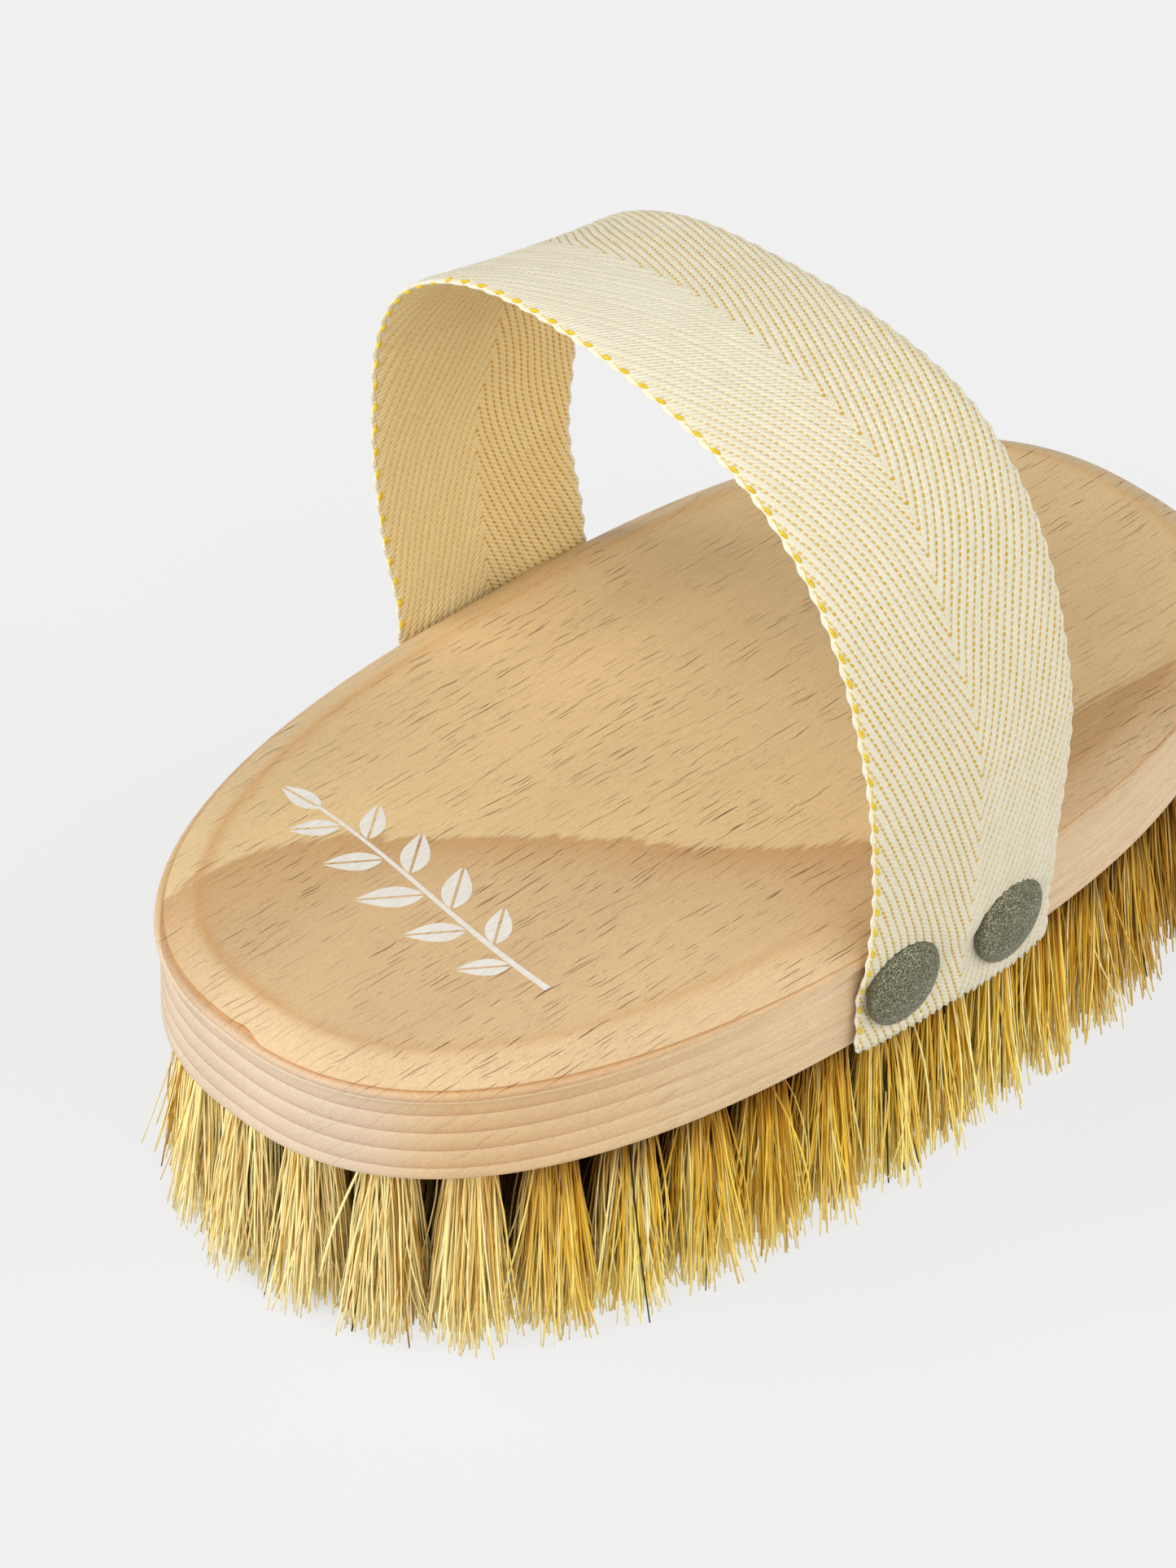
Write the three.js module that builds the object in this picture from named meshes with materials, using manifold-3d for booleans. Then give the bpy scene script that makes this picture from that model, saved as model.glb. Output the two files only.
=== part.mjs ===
// Body dry brush: an oval beech block, a webbing hand strap nailed across it with domed nails,
// and flared bristle tufts set in blind holes underneath.
// Millimetres, +Z up, +X along the block. The origin is on the surface that the brush stands on,
// under the middle of the block, where the bristle tips rest.
import * as THREE from 'three';
import { mergeVertices } from 'three/addons/utils/BufferGeometryUtils.js';
import Module from 'manifold-3d';

const wasm = await Module();
wasm.setup();

// Wooden block
const BLOCK_LENGTH = 140;
const BLOCK_WIDTH = 72.2;
const OVAL_POWER = 2.45; // 2 would be a plain ellipse
const WALL_HEIGHT = 12.1; // underside to the lip's upper edge
const BEVEL_HEIGHT = 2.3;
const BEVEL_WIDTH = 4;
const LIP_HEIGHT = 0.9; // the band that the router left standing proud round the top
const LIP_DEPTH = 0.6;
const UNDERSIDE_EDGE = 0.5;
const OVAL_SEGMENTS = 72;

// Bristles
const BRISTLE_LENGTH = 24.5; // free length, tips to the block's underside
const TUFT_SIDES = 8;
const TUFT_ROOT_RADIUS = 2.6;
const TUFT_WAIST = 0.45; // share of the free length, from the root, where the flare widens
const TUFT_WAIST_RADIUS = 3.2;
const RING_TUFTS = 37;
const RING_START = 0.18; // share of a pitch from the +X end to the first outer tuft
const RING_INSET = 6; // block's edge to the outer tufts' roots
const RING_TIP_RADIUS = 4.05;
const RING_LEAN = 1.8; // how far outwards the outer tips lean
const ROW_TIP_RADIUS = 4.5;
const ROW_PITCH = 8.9; // row to row, along the block
const ROW_TUFT_PITCH = 8.5; // tuft to tuft, across the block
const ROWS_EACH_SIDE = 6;
const ROW_EDGE_INSET = 14.6; // block's edge to the outermost roots of the rows
const HOLE_DEPTH = 6.2;

// Hand strap
const STRAP_WIDTH = 29;
const STRAP_THICKNESS = 1.1;
const STRAP_SEGMENTS = 64;
const STRAP_X = 0.95;
const STRAP_SKEW = -1.8; // degrees about +Z: the strap crosses the block slightly askew
const STRAP_CLEARANCE = 0.45; // to the block's wall, a little more than the gap because of the skew

// Nails
const NAIL_SIDES = 16;
const NAIL_HEAD_RADIUS = 5.1;
const NAIL_HEAD_HEIGHT = 1.9;
const NAIL_RIM = 0.6;
const NAIL_DOME_STEPS = 5;
const NAIL_SHANK_RADIUS = 0.85;
const NAIL_SHANK_LENGTH = 13;
const NAIL_POINT_LENGTH = 2.2;
const NAIL_SPACING = 15.7;
const NAIL_HEIGHT = 7.2; // above the block's underside
const NEAR_NAILS_X = -1.05; // middle of the pair, from the strap's middle
const FAR_NAILS_X = 0.4;

// Gap kept between pieces that touch on the real brush
const GAP = 0.3;

const UNDERSIDE_Z = BRISTLE_LENGTH;
const LIP_Z = UNDERSIDE_Z + WALL_HEIGHT;
const TOP_Z = LIP_Z + BEVEL_HEIGHT;
const HALF_LENGTH = BLOCK_LENGTH / 2;
const HALF_WIDTH = BLOCK_WIDTH / 2;
const WALL_Y = HALF_WIDTH - LIP_DEPTH;
const HOLE_RADIUS = TUFT_ROOT_RADIUS + GAP;
const NAIL_HOLE_RADIUS = NAIL_SHANK_RADIUS + GAP;
const NAIL_Z = UNDERSIDE_Z + NAIL_HEIGHT;
const STRAP_LEG_Y = WALL_Y + STRAP_CLEARANCE + STRAP_THICKNESS / 2;
const STRAP_LIP_Y = HALF_WIDTH + STRAP_CLEARANCE + STRAP_THICKNESS / 2;
const NAIL_SEAT_Y = STRAP_LIP_Y + STRAP_THICKNESS / 2 + GAP;

const beech = { color: 0xd9b48c, roughness: 0.62, metalness: 0 };
const webbing = { color: 0xe9e2d4, roughness: 0.9, metalness: 0 };
const nailMetal = { color: 0x77756a, roughness: 0.5, metalness: 0.8 };
const bristle = { color: 0xb99a66, roughness: 0.75, metalness: 0 };

// A piece's triangles, welded, without the slivers that a lathe leaves on its axis.
function weld(geometry) {
  const bare = geometry.clone();
  bare.deleteAttribute('normal');
  bare.deleteAttribute('uv');
  const welded = mergeVertices(bare, 1e-4);
  const corners = welded.index.array;
  const kept = [];
  for (let i = 0; i < corners.length; i += 3) {
    const [a, b, c] = [corners[i], corners[i + 1], corners[i + 2]];
    if (a !== b && b !== c && c !== a) kept.push(a, b, c);
  }
  welded.setIndex(kept);
  return welded;
}

function toSolid(geometry) {
  const welded = weld(geometry);
  const mesh = new wasm.Mesh({
    numProp: 3,
    vertProperties: new Float32Array(welded.attributes.position.array),
    triVerts: new Uint32Array(welded.index.array),
  });
  return new wasm.Manifold(mesh);
}

function toGeometry(solid) {
  const { vertProperties, triVerts } = solid.getMesh();
  const geometry = new THREE.BufferGeometry();
  geometry.setAttribute('position', new THREE.BufferAttribute(vertProperties, 3));
  geometry.setIndex(new THREE.BufferAttribute(triVerts, 1));
  const faceted = geometry.toNonIndexed();
  faceted.computeVertexNormals();
  return faceted;
}

function cut(geometry, cutters) {
  const solid = cutters.reduce((rest, cutter) => rest.subtract(toSolid(cutter)), toSolid(geometry));
  return toGeometry(solid);
}

function piece(name, geometry, look) {
  const mesh = new THREE.Mesh(geometry, new THREE.MeshStandardMaterial(look));
  mesh.name = name;
  return mesh;
}

const numbered = (name, index) => `${name}_${String(index + 1).padStart(2, '0')}`;

// A turned solid about +Z: the profile is a list of [radius, z] that starts and ends on the axis.
function turned(profile, sides) {
  const points = profile.map(([radius, z]) => new THREE.Vector2(radius, z));
  return new THREE.LatheGeometry(points, sides).rotateX(Math.PI / 2);
}

// The block's outline, drawn in by an inset, at an angle about +Z.
function ovalPoint(angle, inset) {
  const along = Math.cos(angle);
  const across = Math.sin(angle);
  const bow = (share) => Math.sign(share) * Math.abs(share) ** (2 / OVAL_POWER);
  return new THREE.Vector2((HALF_LENGTH - inset) * bow(along), (HALF_WIDTH - inset) * bow(across));
}

function ovalHalfWidth(x, inset) {
  const share = Math.min(Math.abs(x) / (HALF_LENGTH - inset), 1);
  return (HALF_WIDTH - inset) * (1 - share ** OVAL_POWER) ** (1 / OVAL_POWER);
}

// The block is turned round, then each turned radius is drawn out to the oval.
function blockBlank() {
  const lipBottom = LIP_Z - LIP_HEIGHT;
  const blank = turned(
    [
      [0, UNDERSIDE_Z],
      [WALL_Y - UNDERSIDE_EDGE, UNDERSIDE_Z],
      [WALL_Y, UNDERSIDE_Z + UNDERSIDE_EDGE],
      [WALL_Y, lipBottom - LIP_DEPTH / 2],
      [HALF_WIDTH, lipBottom],
      [HALF_WIDTH, LIP_Z],
      [HALF_WIDTH - BEVEL_WIDTH, TOP_Z],
      [0, TOP_Z],
    ],
    OVAL_SEGMENTS,
  );
  const position = blank.attributes.position;
  for (let i = 0; i < position.count; i += 1) {
    const radius = Math.hypot(position.getX(i), position.getY(i));
    if (radius > GAP) {
      const angle = Math.atan2(position.getY(i), position.getX(i));
      const point = ovalPoint(angle, HALF_WIDTH - radius);
      position.setXY(i, point.x, point.y);
    }
  }
  return blank;
}

// Roots of the outer tufts, evenly spaced along the inset outline, each with its outward lean.
function ringRoots() {
  const steps = 720;
  const track = Array.from({ length: steps }, (_, i) => ovalPoint((i / steps) * 2 * Math.PI, RING_INSET));
  const outline = new THREE.Path(track);
  outline.closePath();
  return Array.from({ length: RING_TUFTS }, (_, i) => {
    const share = (i + RING_START) / RING_TUFTS;
    const tangent = outline.getTangentAt(share);
    return { root: outline.getPointAt(share), lean: new THREE.Vector2(tangent.y, -tangent.x) };
  });
}

// Roots of each row across the block; the rows' tufts are staggered.
function rowRoots() {
  const rows = [];
  for (let i = -ROWS_EACH_SIDE; i <= ROWS_EACH_SIDE; i += 1) {
    const x = i * ROW_PITCH;
    const reach = ovalHalfWidth(x, ROW_EDGE_INSET);
    const odd = i % 2 === 0; // a tuft on the middle line
    const offset = odd ? 0 : 0.5;
    const pairs = Math.floor(reach / ROW_TUFT_PITCH + (odd ? 0 : 0.5));
    const row = odd ? [new THREE.Vector2(x, 0)] : [];
    for (let k = 1; k <= pairs; k += 1) {
      const y = (k - offset) * ROW_TUFT_PITCH;
      row.push(new THREE.Vector2(x, y), new THREE.Vector2(x, -y));
    }
    rows.push(row);
  }
  return rows;
}

function tuftHole(root) {
  const below = UNDERSIDE_Z - 1;
  const top = UNDERSIDE_Z + HOLE_DEPTH;
  const hole = turned([[0, below], [HOLE_RADIUS, below], [HOLE_RADIUS, top], [0, top]], TUFT_SIDES);
  return hole.translate(root.x, root.y, 0);
}

// A tuft flares from its root to its tip and can lean outwards below the block.
function tuft(root, tipRadius, lean = new THREE.Vector2()) {
  const rootTop = UNDERSIDE_Z + HOLE_DEPTH - GAP;
  const waistZ = UNDERSIDE_Z - BRISTLE_LENGTH * TUFT_WAIST;
  const profile = [
    [0, 0],
    [tipRadius, 0],
    [TUFT_WAIST_RADIUS, waistZ],
    [TUFT_ROOT_RADIUS, UNDERSIDE_Z],
    [TUFT_ROOT_RADIUS, rootTop],
    [0, rootTop],
  ];
  const shape = turned(profile, TUFT_SIDES);
  const position = shape.attributes.position;
  for (let i = 0; i < position.count; i += 1) {
    const drop = Math.max(0, (UNDERSIDE_Z - position.getZ(i)) / BRISTLE_LENGTH);
    const reach = RING_LEAN * drop ** 1.2;
    position.setX(i, position.getX(i) + root.x + lean.x * reach);
    position.setY(i, position.getY(i) + root.y + lean.y * reach);
  }
  return shape;
}

// The strap's route in the YZ plane, along the middle of the webbing, from one cut end up
// over the hand space and down to the other.
function strapRoute() {
  const legBottom = UNDERSIDE_Z + 0.1;
  const points = [
    [-STRAP_LEG_Y, legBottom],
    [-STRAP_LEG_Y, LIP_Z - 5],
    [-STRAP_LIP_Y, LIP_Z - LIP_HEIGHT],
    [-37.2, 49],
    [-35.7, 60.2],
    [-29.6, 74.8],
    [-19.1, 84.6],
    [-5, 88.6],
    [10, 89.4],
    [24.3, 87.6],
    [35, 81.9],
    [40.2, 72.8],
    [40.7, 62],
    [39.6, 52],
    [STRAP_LIP_Y, LIP_Z - LIP_HEIGHT],
    [STRAP_LEG_Y, LIP_Z - 5],
    [STRAP_LEG_Y, legBottom],
  ];
  return new THREE.SplineCurve(points.map(([y, z]) => new THREE.Vector2(y, z)));
}

function strapBand() {
  const route = strapRoute();
  const outer = [];
  const inner = [];
  for (let i = 0; i <= STRAP_SEGMENTS; i += 1) {
    const point = route.getPointAt(i / STRAP_SEGMENTS);
    const tangent = route.getTangentAt(i / STRAP_SEGMENTS);
    const out = new THREE.Vector2(-tangent.y, tangent.x).multiplyScalar(STRAP_THICKNESS / 2);
    outer.push(point.clone().add(out));
    inner.unshift(point.clone().sub(out));
  }
  const side = new THREE.Shape([...inner, ...outer]);
  const band = new THREE.ExtrudeGeometry(side, { depth: STRAP_WIDTH, bevelEnabled: false });
  const toYZ = new THREE.Matrix4().makeBasis(
    new THREE.Vector3(0, 1, 0),
    new THREE.Vector3(0, 0, 1),
    new THREE.Vector3(1, 0, 0),
  );
  return band.applyMatrix4(toYZ).translate(-STRAP_WIDTH / 2, 0, 0);
}

// A nail about +Z, its head's underside at z = 0 and its point down.
function nailShape() {
  const dome = [];
  for (let i = 0; i <= NAIL_DOME_STEPS; i += 1) {
    const angle = (i / NAIL_DOME_STEPS) * (Math.PI / 2);
    const z = NAIL_RIM + (NAIL_HEAD_HEIGHT - NAIL_RIM) * Math.sin(angle);
    dome.push([NAIL_HEAD_RADIUS * Math.cos(angle), z]);
  }
  dome[NAIL_DOME_STEPS][0] = 0;
  const profile = [
    [0, -NAIL_SHANK_LENGTH],
    [NAIL_SHANK_RADIUS, -NAIL_SHANK_LENGTH + NAIL_POINT_LENGTH],
    [NAIL_SHANK_RADIUS, 0],
    [NAIL_HEAD_RADIUS - NAIL_RIM / 2, 0],
    ...dome,
  ];
  return turned(profile, NAIL_SIDES);
}

function nailHole() {
  const bottom = -NAIL_SHANK_LENGTH - 2 * GAP;
  const top = GAP;
  return turned([[0, bottom], [NAIL_HOLE_RADIUS, bottom], [NAIL_HOLE_RADIUS, top], [0, top]], 8);
}

// Turns a nail or its hole to lie along Y with the head outwards, at its place on the strap.
function drivenIn({ x, side }) {
  const turn = new THREE.Matrix4().makeRotationX((-side * Math.PI) / 2);
  return new THREE.Matrix4().makeTranslation(x, side * NAIL_SEAT_Y, NAIL_Z).multiply(turn);
}

const nails = [
  { name: 'nail_near_left', x: NEAR_NAILS_X - NAIL_SPACING / 2, side: -1 },
  { name: 'nail_near_right', x: NEAR_NAILS_X + NAIL_SPACING / 2, side: -1 },
  { name: 'nail_far_left', x: FAR_NAILS_X - NAIL_SPACING / 2, side: 1 },
  { name: 'nail_far_right', x: FAR_NAILS_X + NAIL_SPACING / 2, side: 1 },
];

const brush = new THREE.Group();

const strapGroup = new THREE.Group();
strapGroup.position.x = STRAP_X;
strapGroup.rotation.z = THREE.MathUtils.degToRad(STRAP_SKEW);
strapGroup.updateMatrix();
brush.add(strapGroup);

const nailHoles = nails.map((nail) => nailHole().applyMatrix4(drivenIn(nail)));
strapGroup.add(piece('hand_strap', cut(strapBand(), nailHoles), webbing));
for (const nail of nails) {
  const mesh = piece(nail.name, nailShape(), nailMetal);
  mesh.applyMatrix4(drivenIn(nail));
  strapGroup.add(mesh);
}

const ring = ringRoots();
const rows = rowRoots();
const tuftHoles = [...ring.map(({ root }) => root), ...rows.flat()].map(tuftHole);
const blockNailHoles = nailHoles.map((hole) => hole.clone().applyMatrix4(strapGroup.matrix));
brush.add(piece('wooden_block', cut(blockBlank(), [...tuftHoles, ...blockNailHoles]), beech));

ring.forEach(({ root, lean }, index) => {
  brush.add(piece(numbered('outer_tuft', index), tuft(root, RING_TIP_RADIUS, lean), bristle));
});

rows.forEach((row, index) => {
  const tufts = row.map((root) => toSolid(tuft(root, ROW_TIP_RADIUS)));
  const joined = tufts.reduce((all, one) => all.add(one));
  brush.add(piece(numbered('inner_tuft_row', index), toGeometry(joined), bristle));
});

export default brush;
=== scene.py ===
"""Body dry brush: an oval beech block on flared bristle tufts, with a webbing hand strap nailed across it.

Lengths are in millimetres until a mesh is made; MM turns them into metres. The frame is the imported
model's: +Z up, +X along the block, the bristle tips resting on z = 0.
"""
import math
from functools import reduce

import bpy
import numpy as np
from mathutils import Matrix, Vector, geometry


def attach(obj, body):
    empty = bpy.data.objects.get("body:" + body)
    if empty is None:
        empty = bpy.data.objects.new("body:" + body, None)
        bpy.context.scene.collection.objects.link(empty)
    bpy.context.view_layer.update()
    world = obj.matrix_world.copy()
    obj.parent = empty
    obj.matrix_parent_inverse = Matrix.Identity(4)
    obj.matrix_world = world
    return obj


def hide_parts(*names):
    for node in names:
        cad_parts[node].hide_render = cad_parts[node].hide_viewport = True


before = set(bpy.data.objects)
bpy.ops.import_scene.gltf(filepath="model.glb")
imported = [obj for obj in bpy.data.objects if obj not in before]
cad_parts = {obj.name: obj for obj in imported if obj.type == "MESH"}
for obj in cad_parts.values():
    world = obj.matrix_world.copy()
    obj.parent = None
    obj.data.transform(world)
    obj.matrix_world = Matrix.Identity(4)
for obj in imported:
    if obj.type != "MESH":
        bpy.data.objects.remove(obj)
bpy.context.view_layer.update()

MM = 0.001
TAU = 2 * math.pi
X_AXIS = np.array([1.0, 0.0, 0.0])
Y_AXIS = np.array([0.0, 1.0, 0.0])

# Block, as in the CAD
UNDERSIDE_Z = 24.5
LIP_Z = 36.6
TOP_Z = 38.9
HALF_LENGTH = 70
HALF_WIDTH = 36.1
LIP_DEPTH = 0.6
OVAL_POWER = 2.45
HOLE_DEPTH = 6.2
HOLE_RADIUS = 2.75
HOLE_SIDES = 20
OUTLINE_POINTS = 720

# How far the router's step stands out, by the turn from the left end along the near side
STEP_TURNS = [0.03, 0.055, 0.5, 1.2, 1.9, 2.6, 3.14, 4.2, 5.2, 6.2]
STEP_SHARES = [1.0, 0.42, 0.42, 0.18, 0.1, 0.3, 0.45, 0.6, 0.85, 1.0]

# Growth rings
RING_PITCH = 2.4
RING_Z = 27.1  # a ring's dark line on the near wall
RING_RELIEF = 0.035
END_GRAIN_PALER = (0.005, 0.065, 0.12, 1.0)

# Bristles, as in the CAD
RING_TUFTS = 37
RING_START = 0.18
RING_INSET = 6
ROW_PITCH = 8.9
ROW_TUFT_PITCH = 8.5
ROWS_EACH_SIDE = 6
ROW_EDGE_INSET = 14.6
ROOT_RADIUS = 2.6
RING_TIP_RADIUS = 5.1
ROW_TIP_RADIUS = 5.0
RING_FIBRES = 370
ROW_FIBRES = 150
FIBRE_STEPS = 9
FIBRE_SIDES = 3
SHORT_SHARE = 0.22
STRAY_SHARE = 0.035
DARK_SHARE = 0.014
FOLD_DEPTH = 4.2  # how far into its hole a fibre is drawn
# Painted light pales the left end's bristles, and painted shade deepens the right end's.
PAINTED_LIGHT_X = -44  # the left end's bristles start to pale here
PAINTED_LIGHT_REACH = 20
PAINTED_SHADE_X = 14  # and the right end's to deepen here
PAINTED_SHADE_REACH = 40

# How far a tuft of the outer ring leans, by the way it faces in degrees: most along the near side
SWEEP_FACINGS = [150, 175, 195, 208, 225, 245, 270, 300, 345]
SWEEPS = [0.7, 0.1, -0.6, -0.1, 0.9, 1.7, 1.6, 1.9, 1.5]

# Strap, as in the CAD
STRAP_WIDTH = 29
STRAP_THICKNESS = 1.1
STRAP_X = 0.95
STRAP_SKEW = -1.8
LEG_Y = HALF_WIDTH - LIP_DEPTH + 0.45 + STRAP_THICKNESS / 2
BULGE_Y = HALF_WIDTH + 0.45 + STRAP_THICKNESS / 2
STRAP_ROUTE = [
    (-LEG_Y, UNDERSIDE_Z + 0.1),
    (-LEG_Y, LIP_Z - 5),
    (-BULGE_Y, LIP_Z - 0.9),
    (-37.2, 49),
    (-35.7, 60.2),
    (-29.6, 74.8),
    (-19.1, 84.6),
    (-5, 88.6),
    (10, 89.4),
    (24.3, 87.6),
    (35.0, 81.9),
    (40.2, 72.8),
    (40.7, 62),
    (39.6, 52),
    (BULGE_Y, LIP_Z - 0.9),
    (LEG_Y, LIP_Z - 5),
    (LEG_Y, UNDERSIDE_Z + 0.1),
]

# Weave
RIB_ALONG = 2.73  # rib to rib, along the strap
RIB_ACROSS = 1.04
RIB_RELIEF = 0.15
ROWS_PER_RIB = 7
PICK = RIB_ALONG / 4

# How the real strap strays from an even band: humps along it, as height, centre, width and power
LEFT_PINCH = [(0.55, 19, 7, 2)]
RIGHT_PINCH = [(0.9, 15, 11, 2)]
LEFT_WAIST = [(0.4, 136, 8, 2), (1.2, 168, 7, 2)]
RIGHT_WAIST = [(1.2, 156, 7, 2), (-0.55, 140, 8, 2), (-0.45, 66, 20, 2)]
SPINE_DRIFT = [(-1.3, 48, 8, 2), (0.5, 94, 9, 2), (3.2, 131, 15, 4)]
FLAT_ARCH = [(1, 98, 26, 2)]
NAIL_DIMPLE = [(-0.42, 0, 5.6, 4), (0.14, 7.6, 1.7, 2)]  # by the distance from the nail's middle
SADDLE_HEIGHT = 1.5
SADDLE_SHARE = 0.675
SADDLE_WIDTH = 20

# Nails
NAIL_HEAD_RADIUS = 5.1
NAIL_HEAD_HEIGHT = 1.9
NAIL_SHANK_RADIUS = 0.85
NAIL_SHANK_LENGTH = 13
NAIL_POINT_LENGTH = 2.2
NAIL_SPACING = 15.7
NAIL_Z = UNDERSIDE_Z + 7.2
NEAR_NAILS_X = -1.05
FAR_NAILS_X = 0.4
NAIL_TILTS = {"domed_nail_near_right": 4}
NAIL_SEAT_Y = LEG_Y + STRAP_THICKNESS / 2 + 0.1

# Print
SPRIG_X = -42.0
SPRIG_REACH = 22.0
LEAF_GAP = 0.16

# Camera
CAMERA_AZIMUTH = -45.83
CAMERA_ELEVATION = 38.84
CAMERA_ROLL = 2.27
CAMERA_LENS = 144.08
CAMERA_TARGET = Vector((-11.47, 7.45, 32.84)) * MM
CAMERA_DISTANCE = 678.4 * MM

# Studio: each sun shines from a place, with a power
SUN_SIZE = 45
SUNS = {
    "key": ((-0.7, 0.7, 0.9), 2.12),
    "end_fill": ((-1.0, 0.0, 0.6), 1.48),
    "front_fill": ((-0.7, -0.7, 0.9), 0.7),
    "near_fill": ((0.0, -1.0, 0.7), 1.02),
    "right_fill": ((0.7, -0.7, 0.7), 1.15),
}
WORLD_COLOUR = (1.0, 0.995, 0.985, 1.0)
WORLD_LIGHT = 0.05
HORIZON_LIGHT = 0.8
FLOOR_ALBEDO = 0.1
FLOOR_GLOW = 0.74
FLOOR_HALF = 40000
FLOOR_Z = -0.02


# ---------------- meshes

def add_object(name, data):
    thing = bpy.data.objects.new(name, data)
    bpy.context.scene.collection.objects.link(thing)
    return thing


def make_piece(name, points, faces, material, attributes=None, sharp=None):
    """A mesh object from points in millimetres and arrays of faces, each array with one face size."""
    mesh = bpy.data.meshes.new(name)
    faces = [np.asarray(group, np.int32) for group in faces if len(group)]
    corners = np.concatenate([group.ravel() for group in faces])
    sizes = np.concatenate([np.full(len(group), group.shape[1]) for group in faces])
    mesh.vertices.add(len(points))
    mesh.vertices.foreach_set("co", (np.asarray(points, float) * MM).ravel())
    mesh.loops.add(len(corners))
    mesh.loops.foreach_set("vertex_index", corners)
    mesh.polygons.add(len(sizes))
    mesh.polygons.foreach_set("loop_start", np.concatenate([[0], np.cumsum(sizes)[:-1]]))
    mesh.polygons.foreach_set("use_smooth", np.ones(len(sizes), bool))
    mesh.update(calc_edges=True)
    for key, values in (attributes or {}).items():
        attribute = mesh.attributes.new(key, "FLOAT", "POINT")
        attribute.data.foreach_set("value", np.asarray(values, np.float32))
    if sharp:
        mesh.set_sharp_from_angle(angle=math.radians(sharp))
    mesh.materials.append(material)
    return add_object(name, mesh)


def grid_faces(rows, columns):
    """Quads of a grid of points, its columns closed into a ring."""
    i, j = np.meshgrid(np.arange(rows - 1), np.arange(columns), indexing="ij")
    low, high = i * columns, (i + 1) * columns
    k = (j + 1) % columns
    return np.stack([low + j, low + k, high + k, high + j], -1).reshape(-1, 4)


def unit(vectors):
    return vectors / np.maximum(np.linalg.norm(vectors, axis=-1, keepdims=True), 1e-9)


def run_along(line):
    """The distance along a line to each of its points."""
    return np.concatenate([[0], np.cumsum(np.linalg.norm(np.diff(line, axis=0), axis=1))])


def tubes(paths, radii, across, sides):
    """Closed tubes round paths (tube, step, xyz), as points and faces. Across is a direction off the path."""
    count, steps = paths.shape[:2]
    tangent = unit(np.gradient(paths, axis=1))
    first = unit(across - (across * tangent).sum(-1, keepdims=True) * tangent)
    second = np.cross(tangent, first)
    cosine, sine = circle(sides).T[..., None]
    ring = first[:, :, None] * cosine + second[:, :, None] * sine
    points = (paths[:, :, None] + ring * radii[:, :, None, None]).reshape(-1, 3)
    base = (np.arange(count) * steps * sides)[:, None]
    side = np.arange(sides)[None]
    walls = (base[..., None] + grid_faces(steps, sides)[None]).reshape(-1, 4)
    return points, [walls, base + side[:, ::-1], base + (steps - 1) * sides + side]


def stepped(value):
    """A smooth step from 0 to 1."""
    value = np.clip(value, 0, 1)
    return value * value * (3 - 2 * value)


def humps(along, table):
    """The sum of smooth humps, each given as its height, centre, width and power."""
    total = 0
    for height, centre, width, power in table:
        total = total + height * np.exp(-(((along - centre) / width) ** power))
    return total


def heading(angle):
    """The direction in plan at an angle about +Z."""
    return np.stack([np.cos(angle), np.sin(angle)], -1)


def circle(sides):
    """Points round a circle of radius 1."""
    return heading(np.arange(sides) / sides * TAU)


# ---------------- materials

class Nodes:
    """Makes and links the nodes of one tree. A value is a socket or a plain setting."""

    def __init__(self, tree):
        self.tree = tree

    def put(self, target, value):
        if isinstance(value, bpy.types.NodeSocket):
            self.tree.links.new(value, target)
        elif value is not None:
            target.default_value = value

    def node(self, kind, *values, **settings):
        node = self.tree.nodes.new("ShaderNode" + kind)
        for key, value in settings.items():
            setattr(node, key, value)
        for target, value in zip(node.inputs, values):
            self.put(target, value)
        return node

    def math(self, operation, *values):
        return self.node("Math", *values, operation=operation).outputs[0]

    def plus(self, *values):
        return reduce(lambda total, value: self.math("ADD", total, value), values)

    def times(self, *values):
        return reduce(lambda product, value: self.math("MULTIPLY", product, value), values)

    def less(self, value, taken):
        return self.math("SUBTRACT", value, taken)

    def vector(self, operation, *values):
        return self.node("VectorMath", *values, operation=operation).outputs[0]

    def split(self, vector):
        return self.node("SeparateXYZ", vector).outputs

    def span(self, value, low, high, to_low=0, to_high=1):
        """A smooth step: to_low where the value is low, to_high where it is high."""
        node = self.node("MapRange", interpolation_type="SMOOTHSTEP")
        for target, setting in zip(node.inputs, (value, low, high, to_low, to_high)):
            self.put(target, setting)
        return node.outputs[0]


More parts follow.
